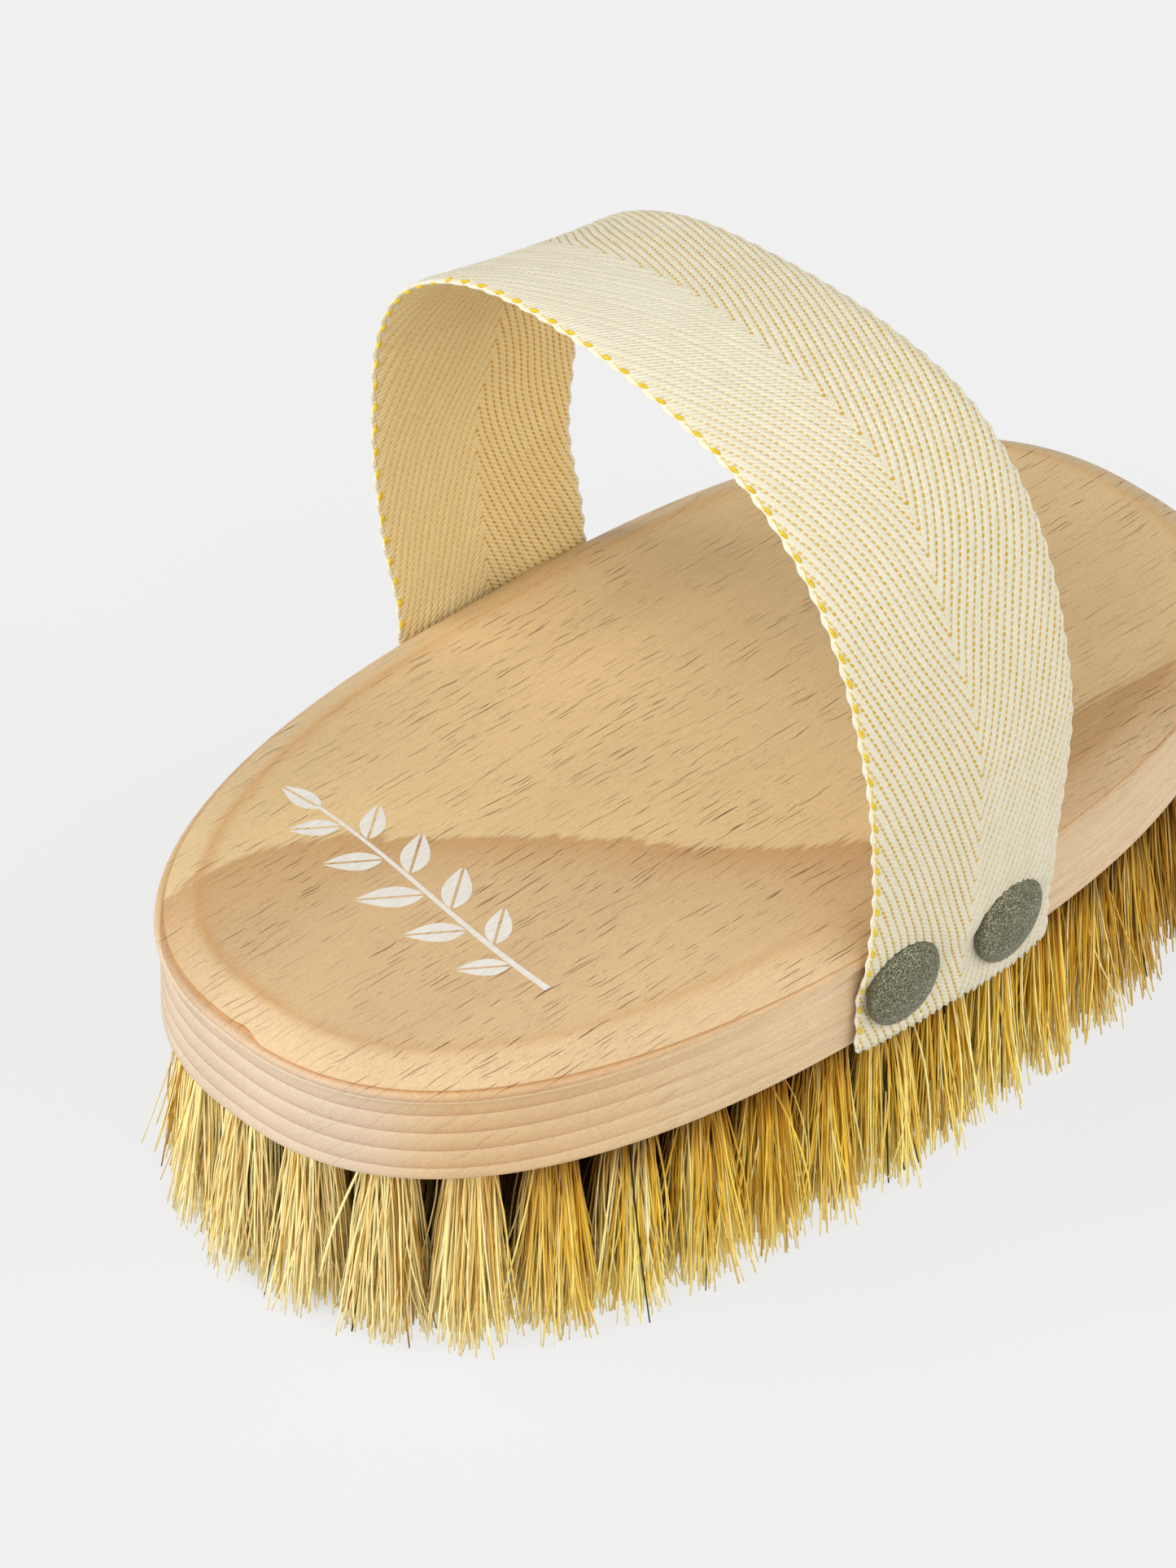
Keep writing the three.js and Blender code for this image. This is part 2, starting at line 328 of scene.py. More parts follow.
class Shader(Nodes):
    """A Principled material whose colour, roughness and bump are built from procedural nodes."""

    def __init__(self, name, **settings):
        self.material = bpy.data.materials.new(name)
        self.material.use_nodes = True
        super().__init__(self.material.node_tree)
        self.bsdf = self.tree.nodes["Principled BSDF"]
        for key, value in settings.items():
            self.bsdf.inputs[key.replace("_", " ")].default_value = value
        coordinates = self.node("TexCoord").outputs["Object"]
        self.place = self.vector("MULTIPLY", coordinates, (1 / MM,) * 3)  # on the object, in millimetres

    def attributes(self, *names):
        return [self.node("Attribute", attribute_name=name).outputs["Fac"] for name in names]

    def noise(self, size, detail=2, roughness=0.5):
        """Noise from 0 to 1 whose blotches are about size millimetres long along x, y and z."""
        node = self.node("TexNoise")
        size = size if isinstance(size, tuple) else (size,) * 3
        self.put(node.inputs["Vector"], self.vector("DIVIDE", self.place, size))
        node.inputs["Scale"].default_value = 1
        node.inputs["Detail"].default_value = detail
        node.inputs["Roughness"].default_value = roughness
        return node.outputs["Fac"]

    def mottle(self, to_low, to_high, size, detail=2, roughness=0.5):
        """Noise from to_low to to_high."""
        return self.span(self.noise(size, detail, roughness), 0.25, 0.75, to_low, to_high)

    def cells(self, place, **settings):
        """Cells of about size 1 round scattered points."""
        node = self.node("TexVoronoi", **settings)
        self.put(node.inputs["Vector"], place)
        node.inputs["Scale"].default_value = 1
        return node.outputs

    def mix(self, share, first, second, blend="MIX"):
        node = self.node("Mix", data_type="RGBA", blend_type=blend, clamp_factor=True)
        for number, value in ((0, share), (6, first), (7, second)):
            self.put(node.inputs[number], value)
        return node.outputs[2]

    def ramp(self, value, stops):
        """Colours given as red, green and blue on a screen, each at its position from 0 to 1."""
        node = self.node("ValToRGB", value)
        elements = node.color_ramp.elements
        while len(elements) < len(stops):
            elements.new(0.5)
        for element, (position, *colour) in zip(elements, stops):
            element.position = position
            element.color = srgb(*colour)
        return node.outputs[0]

    def brighten(self, colour, factor):
        """The colour times a grey value that may pass 1."""
        node = self.node("VectorMath", colour, operation="SCALE")
        self.put(node.inputs["Scale"], factor)
        return node.outputs[0]

    def bump(self, height, depth):
        """A normal from a height of 0 to 1 that stands for depth millimetres."""
        node = self.node("Bump")
        node.inputs["Distance"].default_value = depth * MM
        self.put(node.inputs["Height"], height)
        return node.outputs[0]

    def finish(self, colour, roughness=None, normal=None):
        self.put(self.bsdf.inputs["Base Color"], colour)
        self.put(self.bsdf.inputs["Roughness"], roughness)
        self.put(self.bsdf.inputs["Normal"], normal)
        return self.material


def srgb(red, green, blue):
    """A colour given as it shows on a screen, from 0 to 255."""
    def linear(value):
        value /= 255
        return value / 12.92 if value <= 0.04045 else ((value + 0.055) / 1.055) ** 2.4
    return (linear(red), linear(green), linear(blue), 1.0)


def flecks(shader, cell, reach, width, seed):
    """Short dark rays along X, one to a cell: a mask from 0 to 1. Reach and width are half a ray's size."""
    x, y, z = shader.split(shader.place)
    drift = shader.times(shader.noise((9, 5, 5)), 1.6)
    across = shader.plus(shader.plus(y, shader.times(z, 0.8)), drift)
    flat = shader.node("CombineXYZ", x, across, 0).outputs[0]
    scaled = shader.vector("ADD", shader.vector("DIVIDE", flat, (*cell, 1)), (seed, seed, 0))
    cells = shader.cells(scaled, voronoi_dimensions="2D")
    offset = shader.vector("SUBTRACT", scaled, cells["Position"])
    along, off, _ = shader.split(shader.vector("MULTIPLY", offset, (*cell, 0)))
    chance, size, _ = shader.split(cells["Color"])
    half_length = shader.span(size, 0, 1, *reach)
    half_width = shader.span(chance, 0, 1, *width)
    long_part = shader.math("POWER", shader.math("DIVIDE", along, half_length), 2)
    wide_part = shader.math("POWER", shader.math("DIVIDE", off, half_width), 2)
    mask = shader.span(shader.plus(long_part, wide_part), 1, 0.15)
    return shader.times(mask, shader.span(chance, 0.05, 0.75))


def make_beech():
    """Steamed beech: growth rings, fine grain and pores, and the short dark rays of a flat-sawn face."""
    shader = Shader("beech", Roughness=0.5)
    ring, crease_and_cove_shade, wall, lines = shader.attributes("ring", "crease_and_cove_shade", "wall", "lines")
    feather = shader.less(shader.noise((16, 0.5, 0.5), 3, 0.6), 0.5)
    drift = shader.less(shader.noise((50, 6, 6)), 0.5)
    shift = shader.plus(shader.times(feather, 0.09), shader.times(drift, 0.1))
    shift = shader.times(shift, shader.span(wall, 0, 1, 1, 0.2))
    phase = shader.math("FRACT", shader.plus(ring, shift))
    top = shader.ramp(phase, [
        (0, 181, 144, 98),
        (0.04, 184, 149, 104),
        (0.14, 191, 161, 120),
        (0.35, 197, 168, 127),
        (0.75, 199, 171, 126),
        (0.95, 204, 176, 129),
        (0.985, 203, 176, 131),
        (1, 185, 151, 105),
    ])
    side = shader.ramp(phase, [
        (0, 170, 128, 83),
        (0.07, 186, 146, 103),
        (0.25, 192, 155, 109),
        (0.6, 198, 165, 120),
        (0.965, 204, 172, 130),
        (1, 177, 136, 91),
    ])
    laminae = shader.span(shader.noise((30, 30, 0.4), 3, 0.6), 0.3, 0.7)
    plain = shader.mix(laminae, srgb(198, 170, 131), srgb(209, 184, 149))
    side = shader.mix(lines, plain, side)
    end_grain = shader.span(shader.split(shader.place)[0], -59, -68)
    side = shader.mix(end_grain, side, END_GRAIN_PALER, "ADD")
    colour = shader.mix(wall, top, side)
    # Painted shade under the router's edges, in the cove and in the tuft holes, and a darker line at the
    # bevel's crease.
    colour = shader.mix(crease_and_cove_shade, colour, srgb(186, 139, 86))
    broad = shader.mottle(0.96, 1.04, (45, 9, 9), 3)
    streaks = shader.mottle(0.965, 1.035, (13, 0.5, 0.35), 3, 0.6)
    fine = shader.span(shader.noise((1.6, 0.14, 0.14), 2, 0.6), 0.2, 0.8, 0.935, 1.065)
    pores = shader.span(shader.noise((0.4, 0.16, 0.16), 1), 0.3, 0.7, 0.95, 1.05)
    colour = shader.brighten(colour, shader.times(shader.times(broad, streaks), shader.times(fine, pores)))
    long_rays = flecks(shader, (5.6, 1.2), (1.1, 2.8), (0.026, 0.054), 3.7)
    more_rays = flecks(shader, (7, 1.5), (1.4, 3.4), (0.026, 0.058), 27.1)
    short_rays = shader.times(flecks(shader, (2.4, 0.7), (0.3, 0.9), (0.02, 0.042), 11.3), 0.55)
    patches = shader.span(shader.noise((22, 7, 7)), 0.35, 0.6, 0.4, 1)
    rays = shader.math("MAXIMUM", shader.math("MAXIMUM", long_rays, more_rays), short_rays)
    rays = shader.times(rays, patches, shader.span(wall, 0, 1, 1, 0.35))
    colour = shader.mix(rays, colour, srgb(96, 60, 30))
    height = shader.less(shader.times(shader.noise((4, 0.22, 0.22), 3, 0.6), 0.5), rays)
    roughness = shader.span(streaks, 0.96, 1.04, 0.6, 0.48)
    return shader.finish(colour, roughness, shader.bump(height, 0.04))


def make_webbing():
    """Cotton herringbone: cream ribs, with gold picks showing in the grooves between them."""
    shader = Shader("webbing", Roughness=0.9, Sheen_Weight=0.15, Sheen_Roughness=0.5, Specular_IOR_Level=0.2)
    across, along, edge, inside, show = shader.attributes(
        "weave_across", "weave_along", "selvedge", "inside", "show")
    body = shader.less(1, edge)
    wobble = shader.span(shader.noise(2.2), 0.2, 0.8, -0.04, 0.04)
    slant = shader.math("DIVIDE", shader.math("ABSOLUTE", across), RIB_ACROSS)
    rib = shader.less(shader.math("DIVIDE", along, RIB_ALONG), slant)
    phase = shader.math("FRACT", shader.plus(rib, wobble))
    groove = shader.math("MINIMUM", phase, shader.less(1, phase))
    pick = shader.math("DIVIDE", along, PICK)
    off_pick = shader.math("ABSOLUTE", shader.less(shader.math("FRACT", pick), 0.5))

    cotton = shader.noise(5, 3)
    outside = shader.mix(cotton, srgb(207, 199, 173), srgb(214, 208, 187))
    # Painted shade: the inner face's cotton, grooves and picks take warmer tones than the outer face's.
    shaded = shader.mix(cotton, srgb(220, 195, 138), srgb(228, 207, 153))
    colour = shader.mix(shader.times(inside, shader.span(edge, 0.5, 0.05)), outside, shaded)
    colour = shader.mix(shader.span(edge, 0.1, 0.6, 0, 0.5), colour, srgb(230, 223, 200))
    # Painted shade in the grooves between the ribs, mixed with the picks showing there.
    line = shader.times(shader.span(groove, 0.15, 0.03), body)
    groove_shade_colour = shader.mix(inside, srgb(206, 188, 120), srgb(222, 188, 122))
    colour = shader.mix(shader.times(line, show, 0.28), colour, groove_shade_colour)
    dots = shader.times(shader.span(groove, 0.19, 0.1), shader.span(off_pick, 0.36, 0.24))
    strength = shader.span(shader.noise(1.6), 0.3, 0.65, 0.7, 1)
    gold = shader.times(shader.times(dots, strength), shader.times(body, show))
    colour = shader.mix(gold, colour, shader.mix(inside, srgb(198, 156, 8), srgb(206, 154, 38)))
    fibres = shader.mottle(0.93, 1.07, 0.2, 3, 0.65)
    colour = shader.brighten(colour, fibres)
    twist = shader.times(shader.plus(pick, shader.times(phase, 1.2)), TAU)
    height = shader.plus(shader.times(shader.math("SINE", twist), 0.3), shader.noise(0.2, 3, 0.7))
    return shader.finish(colour, shader.span(fibres, 0.93, 1.07, 0.95, 0.8), shader.bump(height, 0.08))


def make_yarn(name, light, dark):
    """A twisted cotton yarn."""
    shader = Shader(name, Roughness=0.85, Sheen_Weight=0.25, Specular_IOR_Level=0.2)
    tone = shader.span(shader.noise(0.35, 3, 0.6), 0.3, 0.7)
    roughness = shader.span(tone, 0, 1, 0.95, 0.78)
    return shader.finish(shader.mix(tone, dark, light), roughness, shader.bump(shader.noise(0.18), 0.06))


def make_nail_metal():
    """Sandblasted steel with an antique grey-green finish, painted glints on its grains, and painted shade on
    the rim.
    """
    shader = Shader("nail_metal", Metallic=0.7, Roughness=0.4)
    (rim,) = shader.attributes("rim")
    grains = shader.cells(shader.vector("DIVIDE", shader.place, (0.09,) * 3))
    chance, lift, _ = shader.split(grains["Color"])
    colour = shader.mix(shader.noise(1.6, 3), srgb(84, 83, 56), srgb(120, 119, 90))
    colour = shader.mix(shader.span(chance, 0.3, 0.12), colour, srgb(44, 42, 22))
    # Painted glints: bright specks on scattered grains.
    painted_glints = shader.times(shader.span(chance, 0.74, 0.92), 0.8)
    colour = shader.mix(painted_glints, colour, srgb(206, 204, 178))
    # Painted shade: the rim darkens where the head meets the strap.
    colour = shader.mix(shader.times(rim, 0.5), colour, srgb(84, 82, 58))
    height = shader.plus(shader.times(lift, 0.6), grains["Distance"])
    return shader.finish(colour, shader.span(lift, 0, 1, 0.32, 0.62), shader.bump(height, 0.03))


def make_bristle():
    """Natural fibre in straw tones with a few dark hairs, paler towards the tips. Painted light pales the
    left end, and painted shade deepens the roots, the gaps between tufts and the right end."""
    shader = Shader("bristle", Roughness=0.5, Specular_IOR_Level=0.12)
    tone, along, painted_shade, painted_light = shader.attributes("tone", "along", "painted_shade", "painted_light")
    colour = shader.ramp(tone, [
        (0, 30, 32, 18),
        (0.012, 50, 46, 22),
        (0.018, 164, 114, 32),
        (0.08, 206, 154, 42),
        (0.24, 228, 180, 54),
        (0.44, 241, 200, 70),
        (0.62, 248, 214, 88),
        (0.76, 253, 229, 118),
        (0.88, 255, 241, 152),
        (1, 255, 249, 194),
    ])
    pale = shader.times(shader.span(along, 0.55, 1, 0, 0.5), shader.span(tone, 0.03, 0.06))
    colour = shader.mix(pale, colour, srgb(255, 237, 150))
    # Painted light: the lit left end is paled towards cream.
    painted_light_share = shader.times(painted_light, shader.span(tone, 0.03, 0.3, 0, 0.75))
    colour = shader.mix(painted_light_share, colour, srgb(255, 238, 178))
    # Painted shade: an amber multiply and a darkening, strongest at the roots, in the gaps between tufts and
    # at the right end.
    painted_shade_colour = shader.mix(1, colour, srgb(194, 132, 26), "MULTIPLY")
    colour = shader.mix(painted_shade, painted_shade_colour, colour)
    grain = shader.mottle(0.9, 1.08, (0.5, 0.5, 3))
    colour = shader.brighten(colour, shader.times(shader.span(painted_shade, 0, 0.8, 0.2, 1), grain))
    return shader.finish(colour, shader.span(grain, 0.9, 1.08, 0.58, 0.44), shader.bump(grain, 0.02))


def make_ink():
    """White print, a little worn along the grain."""
    shader = Shader("white_ink", Roughness=0.55)
    wear = shader.mottle(0, 1, (3, 0.35, 0.35), 3, 0.6)
    colour = shader.mix(wear, srgb(204, 199, 190), srgb(216, 213, 207))
    return shader.finish(colour, shader.span(wear, 0, 1, 0.6, 0.5), shader.bump(wear, 0.02))


def make_floor():
    """A pale sheet that glows evenly outside the brush, so that the shadows stay faint."""
    shader = Shader("floor", Roughness=0.8, Specular_IOR_Level=0.1)
    tone = shader.span(shader.noise(90), 0.2, 0.8)
    low, high = FLOOR_ALBEDO, FLOOR_ALBEDO * 1.01
    colour = shader.mix(tone, (low, low, low, 1), (high, high, high, 1))
    spot = shader.vector("DIVIDE", shader.place, (HALF_LENGTH - 4, HALF_WIDTH - 4, 1))
    distance = shader.node("VectorMath", spot, operation="LENGTH").outputs["Value"]
    glow = shader.span(distance, 0.84, 1.04, 0, FLOOR_GLOW)
    shader.bsdf.inputs["Emission Color"].default_value = (1, 1, 1, 1)
    shader.put(shader.bsdf.inputs["Emission Strength"], glow)
    return shader.finish(colour)


# ---------------- block

def oval_point(angle, inset):
    """The CAD's outline, drawn in by an inset, at an angle about +Z."""
    shares = heading(angle)
    bowed = np.sign(shares) * np.abs(shares) ** (2 / OVAL_POWER)
    return bowed * [HALF_LENGTH - inset, HALF_WIDTH - inset]


def evenly(track, shares):
    """Points on a closed track at shares of its length, with the outward normal there."""
    closed = np.vstack([track, track[:1]])
    run = run_along(closed)

    def at(distance):
        return np.stack([np.interp(distance, run, closed[:, k]) for k in (0, 1)], -1)

    distance = np.asarray(shares) * run[-1]
    step = run[-1] / 2000
    tangent = unit(at((distance + step) % run[-1]) - at((distance - step) % run[-1]))
    return at(distance), np.stack([tangent[:, 1], -tangent[:, 0]], -1)


def ring_roots():
    """Where the outer ring's tufts stand, with the outward normals there."""
    track = oval_point(np.arange(720) / 720 * TAU, RING_INSET)
    return evenly(track, (np.arange(RING_TUFTS) + RING_START) / RING_TUFTS)


def row_roots():
    """Where the inner tufts stand, row by row. Every other row has a tuft on the block's middle line."""
    rows = []
    for i in range(-ROWS_EACH_SIDE, ROWS_EACH_SIDE + 1):
        x = i * ROW_PITCH
        share = min(abs(x) / (HALF_LENGTH - ROW_EDGE_INSET), 1)
        reach = (HALF_WIDTH - ROW_EDGE_INSET) * (1 - share**OVAL_POWER) ** (1 / OVAL_POWER)
        centred = i % 2 == 0
        offset = 0 if centred else 0.5
        pairs = math.floor(reach / ROW_TUFT_PITCH + offset)
        row = [(x, 0.0)] if centred else []
        for k in range(1, pairs + 1):
            y = (k - offset) * ROW_TUFT_PITCH
            row += [(x, y), (x, -y)]
        rows.append(row)
    return rows


def ring_field(points):
    """The growth ring at each point: a whole number is a dark line."""
    x, y, z = points[..., 0], points[..., 1], points[..., 2]
    seam = -27 + 27 * (1 - np.tanh((x + 29) / 26))  # where a ring surfaces on the top
    layer = (np.where(z > LIP_Z + 0.1, TOP_Z, z) - RING_Z) / RING_PITCH + 0.083
    dip = 0.3 * np.tanh((seam - y) / 18)
    sway = 0.08 * np.sin(x / 19 + 1.3) * np.sin(y / 15 + 0.4) + 0.05 * np.sin(x / 7.3 + y / 11)
    side = np.where(z < LIP_Z, 0.12 * np.sin(x / 26 + 0.6) + 0.05 * np.sin(x / 9.5 + 2), 0)
    return layer + dip + sway * 0.6 + side


def line_strength(points):
    """How clearly the rings show on the wall: plain round the left end, faint along the near side."""
    x, y = points[..., 0], points[..., 1]
    return 1 - 0.8 * stepped((x + 60) / 42) * stepped((4 - y) / 10)


def lip_profile(share):
    """The block's section from the underside's edge to the flat top, as levels of inset, height, wall and
    cove
    shade: painted shade under the edges and in the cove, and a darker line at the bevel's crease. Share is
    how far the router's step stands out at each outline point, from 0 to 1."""
    shelf = 0.15 + 0.95 * share
    soft = 0.4 + 0.6 * share
    levels = [
        (LIP_DEPTH + 0.55, UNDERSIDE_Z, 1, 0),
        (LIP_DEPTH + 0.22, UNDERSIDE_Z + 0.07, 1, 0),
        (LIP_DEPTH + 0.06, UNDERSIDE_Z + 0.24, 1, 0),
    ]
    levels += [(LIP_DEPTH, z, 1, 0) for z in np.linspace(UNDERSIDE_Z + 0.55, LIP_Z - 1.75, 42)]
    levels += [
        (LIP_DEPTH - 0.02, LIP_Z - 1.5, 1, 0.35),
        (LIP_DEPTH - 0.34, LIP_Z - 1.28, 1, 0.25),
        (0.04, LIP_Z - 1.1, 0.9, 0),
        (0.0, LIP_Z - 0.75, 0.85, 0),
        (0.05, LIP_Z - 0.4, 0.75, 0.05),
        (0.2 * shelf + 0.04, LIP_Z - 0.18, 0.65, 0.15),
        (0.6 * shelf + 0.04, LIP_Z - 0.02, 0.5, 0.3),
        (0.95 * shelf + 0.05, LIP_Z + 0.02, 0.4, 0.75),
        (1.0 * shelf + 0.05, LIP_Z + 0.02 + 0.12 * share, 0.3, 1.0),
        (0.93 * shelf + 0.06, LIP_Z + 0.05 + 0.3 * share, 0.2, 0.9),
        (0.86 * shelf + 0.1, LIP_Z + 0.1 + 0.46 * share, 0.1, 0.25),
        (0.9 * shelf + 0.2, LIP_Z + 0.18 + 0.5 * share, 0, 0),
        (0.9 * shelf + 0.45, LIP_Z + 0.34 + 0.46 * share, 0, 0),
    ]
    start_inset, start_z = levels[-1][:2]
    for step in (0.2, 0.4, 0.6, 0.8, 0.9, 1.0):
        inset = start_inset + (4.3 - start_inset) * step
        rise = 1 - (1 - step) ** 1.35
        crease_and_cove_shade = 0.3 * stepped((step - 0.75) * 4) * soft
        levels.append((inset, start_z + (TOP_Z - 0.05 - start_z) * rise, 0, crease_and_cove_shade))
    levels.append((4.7, TOP_Z - 0.012, 0, 0.6 * soft))
    levels.append((5.2, TOP_Z, 0, 0.32 * soft))
    levels.append((6.1, TOP_Z, 0, 0))
    return levels


def underside(outline, holes):
    """Triangles of the flat underside, between the outline's points and the holes' rims."""
    flat = np.vstack([outline, holes.reshape(-1, 2)])
    edges = [(i, (i + 1) % len(outline)) for i in range(len(outline))]
    rim = holes.shape[1]
    for h in range(len(holes)):
        first = len(outline) + h * rim
        edges += [(first + k, first + (k + 1) % rim) for k in range(rim)]
    result = geometry.delaunay_2d_cdt([Vector(p) for p in flat], edges, [], 1, 1e-5)
    origin = [found[0] for found in result[3]]
    triangles = np.array([[origin[k] for k in face] for face in result[2]])
    middle = flat[triangles].mean(1)
    centres = holes.mean(1)
    apart = np.linalg.norm(middle[:, None] - centres[None], axis=-1).min(1)
    triangles = triangles[apart > HOLE_RADIUS * 0.97]
    a, b, c = (flat[triangles[:, k]] for k in range(3))
    turn = (b[:, 0] - a[:, 0]) * (c[:, 1] - a[:, 1]) - (b[:, 1] - a[:, 1]) * (c[:, 0] - a[:, 0])
    triangles[turn > 0] = triangles[turn > 0][:, ::-1]  # facing down
    return triangles


def make_block(material, roots):
    """The block, its growth rings standing in slight relief on the wall, with a blind hole at each root."""
    track = oval_point(np.arange(7200) / 7200 * TAU, 0)
    outline, normal = evenly(track, np.arange(OUTLINE_POINTS) / OUTLINE_POINTS)
    angle = np.arctan2(outline[:, 1], outline[:, 0])

    # The router's step is deep round the far side and the left end, starts at a nick at the very end,
    # and fades along the near side.
    turn = (angle - math.pi) % TAU  # 0 at the left end, growing along the near side
    nick = np.exp(-(((turn + 0.02) % TAU - 0.032) / 0.014) ** 2)
    rings, rings_wall, rings_crease_and_cove_shade = [], [], []
    wave = 0.06 * np.sin(angle * 5 + 0.8) + 0.04 * np.sin(angle * 11 + 2)
    for inset, z, wall, crease_and_cove_shade in lip_profile(np.interp(turn, STEP_TURNS, STEP_SHARES) + 0.25 * nick):
        flat = outline - normal * (inset + wave * 0.5)[:, None]
        ring = np.column_stack([flat, np.broadcast_to(z, OUTLINE_POINTS)])
        if wall == 1:
            phase = ring_field(ring) % 1
            cut = np.exp(-((np.minimum(phase, 1 - phase) / 0.07) ** 2)) + 0.5 * np.exp(-phase / 0.25)
            sunk = ring[:, 2] > UNDERSIDE_Z + 0.3
            ring[:, :2] -= normal * (RING_RELIEF * cut * sunk * line_strength(ring))[:, None]
        rings.append(ring)
        rings_wall.append(np.full(OUTLINE_POINTS, float(wall)))
        rings_crease_and_cove_shade.append(np.broadcast_to(crease_and_cove_shade, OUTLINE_POINTS).astype(float))
    top_shares = (0.93, 0.84, 0.74, 0.64, 0.54, 0.44, 0.34, 0.24, 0.15, 0.07)
    top_points = OUTLINE_POINTS * len(top_shares) + 1
    rings += [rings[-1] * [share, share, 1] for share in top_shares]
    count = len(rings)
    points = np.concatenate(rings + [[[0, 0, TOP_Z]]])
    faces = [grid_faces(count, OUTLINE_POINTS)]
    last = (count - 1) * OUTLINE_POINTS + np.arange(OUTLINE_POINTS)
    faces.append(np.stack([last, np.roll(last, -1), np.full(OUTLINE_POINTS, len(points) - 1)], -1))

    # Blind holes: a rim shared with the underside, a small countersink, a wall and a bottom.
    first = len(points)
    step = len(roots) * HOLE_SIDES
    shape = circle(HOLE_SIDES)
    hole_points = []
    for radius, rise in ((HOLE_RADIUS, 0), (HOLE_RADIUS - 0.12, 0.15), (HOLE_RADIUS - 0.12, HOLE_DEPTH)):
        level = roots[:, None] + shape[None] * radius
        height = np.full(level.shape[:2] + (1,), UNDERSIDE_Z + rise)
        hole_points.append(np.concatenate([level, height], -1).reshape(-1, 3))
    hole_points.append(np.column_stack([roots, np.full(len(roots), UNDERSIDE_Z + HOLE_DEPTH + 0.6)]))
    triangles = underside(rings[0][:, :2], roots[:, None] + shape[None] * HOLE_RADIUS)
    faces.append(np.where(triangles >= OUTLINE_POINTS, triangles - OUTLINE_POINTS + first, triangles))
    k = np.arange(step).reshape(len(roots), HOLE_SIDES)
    following = np.roll(k, -1, axis=1)
    for low in (first, first + step):
        high = low + step
        faces.append(np.stack([low + k, high + k, high + following, low + following], -1).reshape(-1, 4))
    tip = high + step + np.arange(len(roots))[:, None]
    faces.append(np.stack([high + k, np.broadcast_to(tip, k.shape), high + following], -1).reshape(-1, 3))
    points = np.concatenate([points] + hole_points)
    in_holes = len(points) - first
    attributes = {
        "ring": ring_field(points),
        "wall": np.concatenate(rings_wall + [np.zeros(top_points), np.ones(in_holes)]),
        # painted shade inside the tuft holes, as under the edges
        "crease_and_cove_shade": np.concatenate(rings_crease_and_cove_shade + [np.zeros(top_points), np.full(in_holes, 0.3)]),
        "lines": line_strength(points),
    }
    return make_piece("beech_block", points, faces, material, attributes, sharp=40)


# ---------------- bristles

def depth_inside(points):
    """How far a point lies inside the block's outline, in plan."""
    x, y = points[..., 0], points[..., 1]
    share = (np.abs(x) / HALF_LENGTH) ** OVAL_POWER + (np.abs(y) / HALF_WIDTH) ** OVAL_POWER
    return np.hypot(x, y) * (1 / np.maximum(share ** (1 / OVAL_POWER), 0.02) - 1)


def grow_fibres(random, root, lean, tip_radius, count):
    """One tuft's fibres: their paths, tones and radii. They fan out to their tips, each with its own bend."""
    angle = random.uniform(0, TAU, count)
    share = np.sqrt(random.uniform(0, 1, count))
    start = np.asarray(root) + heading(angle) * (share * (ROOT_RADIUS - 0.15))[:, None]
    out = heading(angle + random.normal(0, 0.5, count))
    flare = share * tip_radius * random.normal(0.95, 0.14, count)
    middle = np.asarray(root) + np.asarray(lean) + random.normal(0, 0.25, 2)
    end = middle + out * flare[:, None] + random.normal(0, 0.45, (count, 2))
    tip_z = 0.05 + np.abs(random.normal(0.2, 0.8, count))
    short = random.uniform(0, 1, count) < SHORT_SHARE
    tip_z = np.where(short, tip_z + random.uniform(0.6, 6.0, count), tip_z)
    stray = random.uniform(0, 1, count) < STRAY_SHARE
    end += np.where(stray[:, None], random.normal(0, 2.2, (count, 2)), 0)
    tip_z = np.where(stray, tip_z + random.uniform(0, 9, count), tip_z)
    top = UNDERSIDE_Z + FOLD_DEPTH
    z = top + (tip_z[:, None] - top) * np.linspace(0, 1, FIBRE_STEPS)[None] ** 0.9
    fall = np.clip((UNDERSIDE_Z + 0.6 - z) / (UNDERSIDE_Z + 0.6), 0, 1)
    ease = fall ** random.uniform(1.0, 1.3, (count, 1))
    sideways = heading(random.uniform(0, TAU) + random.normal(0, 1.5, count))
    bend = random.normal(0.25, 0.5, count) + np.where(stray, random.uniform(-2.2, 2.2, count), 0)
    hook = random.normal(0, 0.45, count)[:, None] * np.clip(fall - 0.55, 0, 1) ** 2 * 5
    wave = random.normal(0, 0.09, count)[:, None] * np.sin(fall * random.uniform(7, 13, (count, 1)))
    bow = bend[:, None] * np.sin(math.pi * fall * random.uniform(0.8, 1.35, (count, 1))) + hook + wave
    xy = start[:, None] + (end - start)[:, None] * ease[..., None] + sideways[:, None] * bow[..., None]
    tone = random.uniform(0, 1, count)
    tones = np.where(tone > DARK_SHARE, np.clip(tone + random.normal(0, 0.06), 0.02, 1), tone * 0.8)
    radii = random.uniform(0.105, 0.165, count) + 0.05 * (random.uniform(0, 1, count) > 0.9)
    return np.concatenate([xy, z[..., None]], -1), tones, radii


